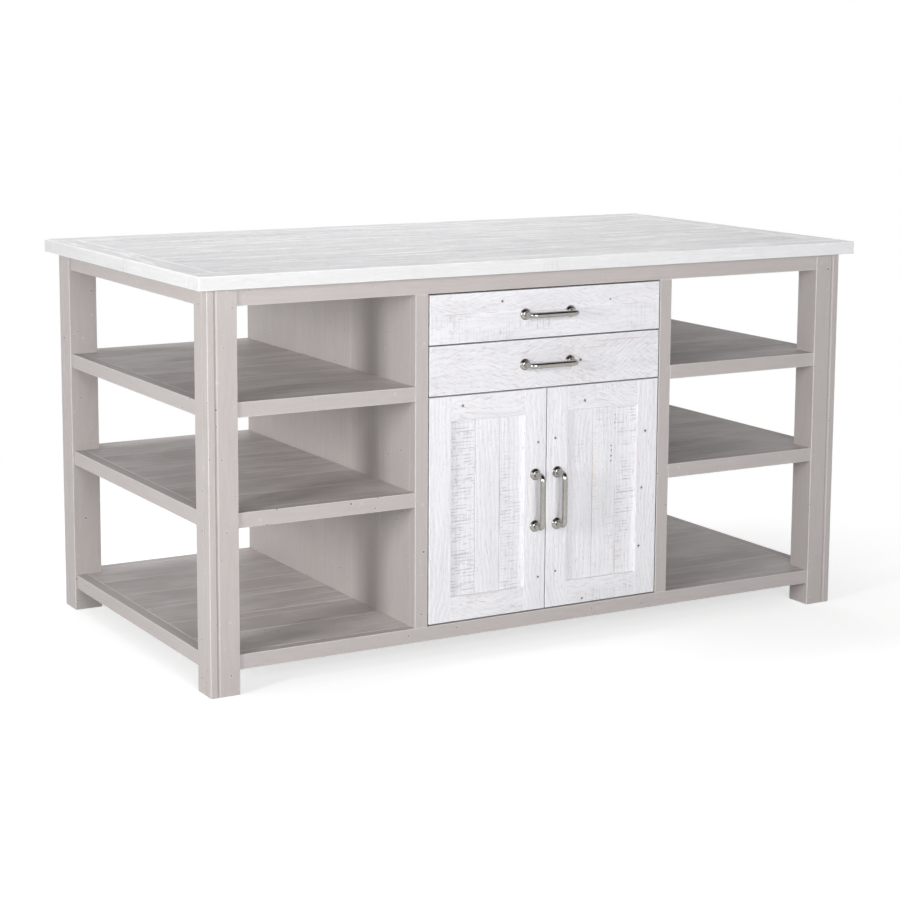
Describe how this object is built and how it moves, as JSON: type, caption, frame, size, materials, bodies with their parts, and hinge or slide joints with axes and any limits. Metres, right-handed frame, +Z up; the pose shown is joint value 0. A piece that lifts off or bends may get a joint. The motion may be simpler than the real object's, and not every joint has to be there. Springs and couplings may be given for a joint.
{
  "type": "kitchen island unit",
  "caption": "Long rectangular kitchen island: planked worktop on square legs, open shelf bays at both ends, and a middle cabinet of two drawers above two panelled doors.",
  "frame": {"origin": "on the floor, at the middle of the overall length and of the overall depth (worktop's back edge to the handles' front)", "axes": "+Z up, +X to the right as seen from the front, -Y towards the front with the drawers and doors"},
  "size_m": [1.72, 0.9452, 0.9],
  "materials": {
    "whitewashed_pine": "rough-sawn pine under a thin white wash, matt",
    "painted_taupe": "warm grey paint on pine, low sheen",
    "bare_pine": "planed pine, clear lacquer",
    "brushed_nickel": "brushed nickel plating",
    "hinge_steel": "bright nickel plating"
  },
  "bodies": {
    "carcass": {"top_front_board": "whitewashed_pine", "top_back_board": "whitewashed_pine", "top_left_end_board": "whitewashed_pine", "top_right_end_board": "whitewashed_pine", "top_plank_field": "whitewashed_pine", "leg_front_left": "painted_taupe", "leg_front_right": "painted_taupe", "leg_back_left": "painted_taupe", "leg_back_right": "painted_taupe", "top_rail_front": "painted_taupe", "top_rail_back": "painted_taupe", "top_rail_left": "painted_taupe", "top_rail_right": "painted_taupe", "bottom_rail_front": "painted_taupe", "bottom_rail_back": "painted_taupe", "bottom_rail_left": "painted_taupe", "bottom_rail_right": "painted_taupe", "floor_panel": "painted_taupe", "shelf_left_upper": "painted_taupe", "shelf_left_lower": "painted_taupe", "shelf_right_upper": "painted_taupe", "shelf_right_lower": "painted_taupe", "post_left": "painted_taupe", "post_right": "painted_taupe", "partition_left": "painted_taupe", "partition_right": "painted_taupe", "cabinet_back": "painted_taupe", "drawer_divider": "bare_pine", "cupboard_shelf": "bare_pine", "runner_upper_left": "bare_pine", "runner_upper_right": "bare_pine", "runner_lower_left": "bare_pine", "runner_lower_right": "bare_pine", "hinge_arm_left_lower": "hinge_steel", "hinge_arm_left_upper": "hinge_steel", "hinge_arm_right_lower": "hinge_steel", "hinge_arm_right_upper": "hinge_steel"},
    "drawer_upper": {"drawer_upper_front": "whitewashed_pine", "drawer_upper_side_left": "bare_pine", "drawer_upper_side_right": "bare_pine", "drawer_upper_back": "bare_pine", "drawer_upper_bottom": "bare_pine", "drawer_upper_handle": "brushed_nickel"},
    "drawer_lower": {"drawer_lower_front": "whitewashed_pine", "drawer_lower_side_left": "bare_pine", "drawer_lower_side_right": "bare_pine", "drawer_lower_back": "bare_pine", "drawer_lower_bottom": "bare_pine", "drawer_lower_handle": "brushed_nickel"},
    "door_left": {"door_left_frame": "whitewashed_pine", "door_left_panel": "whitewashed_pine", "door_left_handle": "brushed_nickel", "hinge_cup_left_lower": "hinge_steel", "hinge_cup_left_upper": "hinge_steel"},
    "door_right": {"door_right_frame": "whitewashed_pine", "door_right_panel": "whitewashed_pine", "door_right_handle": "brushed_nickel", "hinge_cup_right_lower": "hinge_steel", "hinge_cup_right_upper": "hinge_steel"}
  },
  "joints": [
    {"name": "drawer_upper_slide", "type": "slide", "parent": "carcass", "child": "drawer_upper", "axis": [0, -1, 0], "range_m": [0, 0.33]},
    {"name": "drawer_lower_slide", "type": "slide", "parent": "carcass", "child": "drawer_lower", "axis": [0, -1, 0], "range_m": [0, 0.33]},
    {"name": "door_left_hinge", "type": "hinge", "parent": "carcass", "child": "door_left", "pos_m": [-0.3065, -0.43285, 0.346], "axis": [0, 0, -1], "range_deg": [0, 110]},
    {"name": "door_right_hinge", "type": "hinge", "parent": "carcass", "child": "door_right", "pos_m": [0.3065, -0.43285, 0.346], "axis": [0, 0, 1], "range_deg": [0, 110]}
  ]
}
